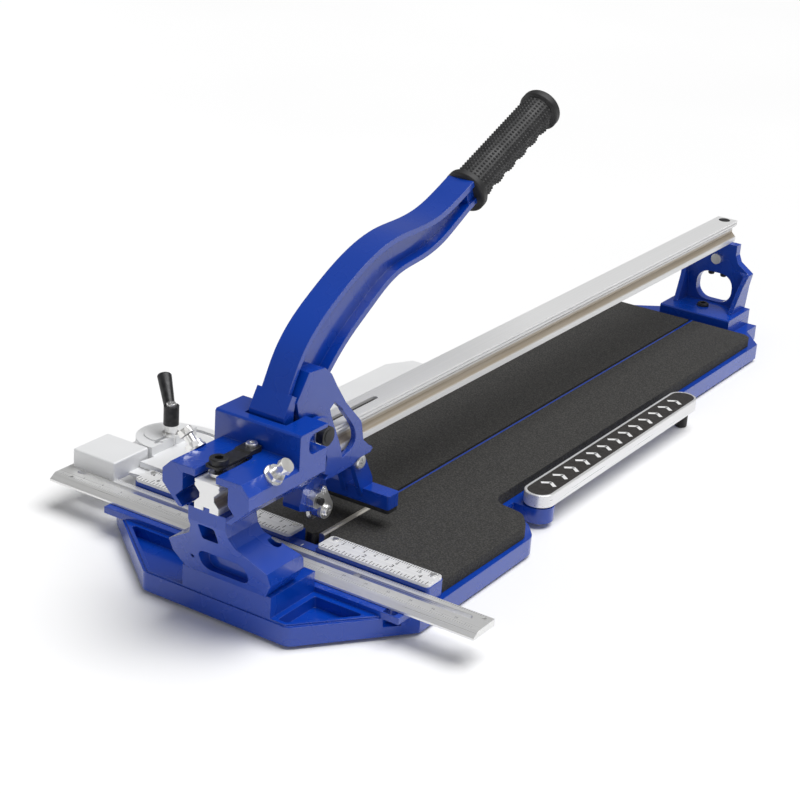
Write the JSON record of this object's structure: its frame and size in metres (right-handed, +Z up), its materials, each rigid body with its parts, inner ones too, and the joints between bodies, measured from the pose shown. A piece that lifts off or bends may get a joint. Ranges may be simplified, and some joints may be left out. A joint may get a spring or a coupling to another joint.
{
  "type": "manual tile cutter",
  "caption": "Manual rail tile cutter: blue cast base with grey pads, aluminium rail, lever carriage with scoring wheel and breaker foot, and an angle fence on a sliding ruler.",
  "frame": {"origin": "on the table surface under the cut line, at the numeral line of the front fence", "axes": "+Z up, +Y along the rail from the nose to the rear, +X to the operator's right"},
  "size_m": [0.409, 0.879, 0.3374],
  "materials": {
    "blue_paint": "gloss royal blue paint over cast metal",
    "rubber": "fine grained charcoal rubber",
    "grip_rubber": "dotted black rubber",
    "label": "matt black film",
    "aluminium": "satin extruded",
    "grey_casting": "matt blasted die casting",
    "black_steel": "black oxide",
    "zinc_steel": "bright zinc plate",
    "carbide": "ground carbide"
  },
  "bodies": {
    "base": {"base_casting": "blue_paint", "base_rubber_strips": "rubber", "breaker_anvil": "zinc_steel", "right_pad": "rubber", "left_pad": "rubber", "left_scale_plate": "aluminium", "right_scale_plate": "aluminium", "scale_plate_screws": "zinc_steel", "rail": "aluminium", "rail_plug": "black_steel", "front_bracket": "blue_paint", "rear_bracket": "blue_paint", "bracket_screws": "black_steel", "rail_screws": "black_steel", "rear_stop_bolt": "zinc_steel", "guide_pins": "zinc_steel", "arm_bolts": "zinc_steel", "arm_washers": "zinc_steel"},
    "carriage": {"carriage_body": "blue_paint", "bearing_axles": "zinc_steel", "axle_washers": "zinc_steel", "jam_nuts": "zinc_steel", "axle_heads": "zinc_steel", "pivot_bolt": "black_steel", "pivot_washer": "zinc_steel", "pivot_nut": "black_steel", "latch_leaf": "black_steel", "leaf_screw": "zinc_steel"},
    "front_left_bearing": {"front_left_bearing": "zinc_steel"},
    "front_right_bearing": {"front_right_bearing": "zinc_steel"},
    "rear_left_bearing": {"rear_left_bearing": "zinc_steel"},
    "rear_right_bearing": {"rear_right_bearing": "zinc_steel"},
    "latch": {"latch_screw": "black_steel", "latch_spacer": "zinc_steel"},
    "lever": {"lever_arm": "blue_paint", "grip": "grip_rubber", "wheel_holder": "blue_paint", "holder_bolt": "zinc_steel", "holder_nut": "zinc_steel", "wheel_axle": "zinc_steel", "wheel_keeper": "zinc_steel", "keeper_screw": "zinc_steel"},
    "foot": {"foot_bar": "blue_paint", "foot_sole": "rubber", "foot_screw": "zinc_steel"},
    "wheel": {"scoring_wheel": "carbide"},
    "ruler": {"ruler_bar": "aluminium", "square_head": "grey_casting", "quadrant": "grey_casting", "hub_pin": "zinc_steel"},
    "blade": {"fence_blade": "grey_casting"},
    "clamp": {"clamp_lever": "black_steel", "clamp_collar": "zinc_steel", "clamp_screw": "zinc_steel"},
    "right_arm": {"right_arm": "aluminium", "right_arm_label": "label", "right_arm_foot": "rubber"},
    "left_arm": {"left_arm": "aluminium", "left_arm_label": "label", "left_arm_foot": "rubber"}
  },
  "joints": [
    {"name": "carriage_slide", "type": "slide", "parent": "base", "child": "carriage", "axis": [0, 1, 0], "range_m": [0, 0.6]},
    {"name": "lever_hinge", "type": "hinge", "parent": "carriage", "child": "lever", "pos_m": [0, -0.022, 0.137], "axis": [1, 0, 0], "range_deg": [-7, 3]},
    {"name": "foot_hinge", "type": "hinge", "parent": "lever", "child": "foot", "pos_m": [0, 0.054, 0.084], "axis": [1, 0, 0], "range_deg": [0, 60]},
    {"name": "wheel_spin", "type": "hinge", "parent": "lever", "child": "wheel", "pos_m": [0, 0.0097, 0.0585], "axis": [1, 0, 0], "continuous": true},
    {"name": "latch_lift", "type": "slide", "parent": "carriage", "child": "latch", "axis": [0, 0, 1], "range_m": [0, 0.004], "stiffness_N_per_m": 500},
    {"name": "ruler_slide", "type": "slide", "parent": "base", "child": "ruler", "axis": [1, 0, 0], "range_m": [-0.095, 0]},
    {"name": "fence_swing", "type": "hinge", "parent": "ruler", "child": "blade", "pos_m": [-0.187, 0.062, 0.035], "axis": [0, 0, 1], "range_deg": [0, 45]},
    {"name": "clamp_turn", "type": "hinge", "parent": "ruler", "child": "clamp", "pos_m": [-0.187, 0.062, 0.049], "axis": [0, 0, 1], "range_deg": [-60, 60]},
    {"name": "right_arm_swing", "type": "hinge", "parent": "base", "child": "right_arm", "pos_m": [0.092, 0.207, 0.0255], "axis": [0, 0, 1], "range_deg": [-90, 0]},
    {"name": "left_arm_swing", "type": "hinge", "parent": "base", "child": "left_arm", "pos_m": [-0.12, 0.207, 0.0255], "axis": [0, 0, 1], "range_deg": [0, 90]},
    {"name": "front_left_bearing_spin", "type": "hinge", "parent": "carriage", "child": "front_left_bearing", "pos_m": [-0.0155, -0.094, 0.112], "axis": [-0.7071, 0, 0.7071], "continuous": true},
    {"name": "front_right_bearing_spin", "type": "hinge", "parent": "carriage", "child": "front_right_bearing", "pos_m": [0.0155, -0.094, 0.112], "axis": [0.7071, 0, 0.7071], "continuous": true},
    {"name": "rear_left_bearing_spin", "type": "hinge", "parent": "carriage", "child": "rear_left_bearing", "pos_m": [-0.0155, -0.0715, 0.112], "axis": [-0.7071, 0, 0.7071], "continuous": true},
    {"name": "rear_right_bearing_spin", "type": "hinge", "parent": "carriage", "child": "rear_right_bearing", "pos_m": [0.0155, -0.0715, 0.112], "axis": [0.7071, 0, 0.7071], "continuous": true}
  ]
}
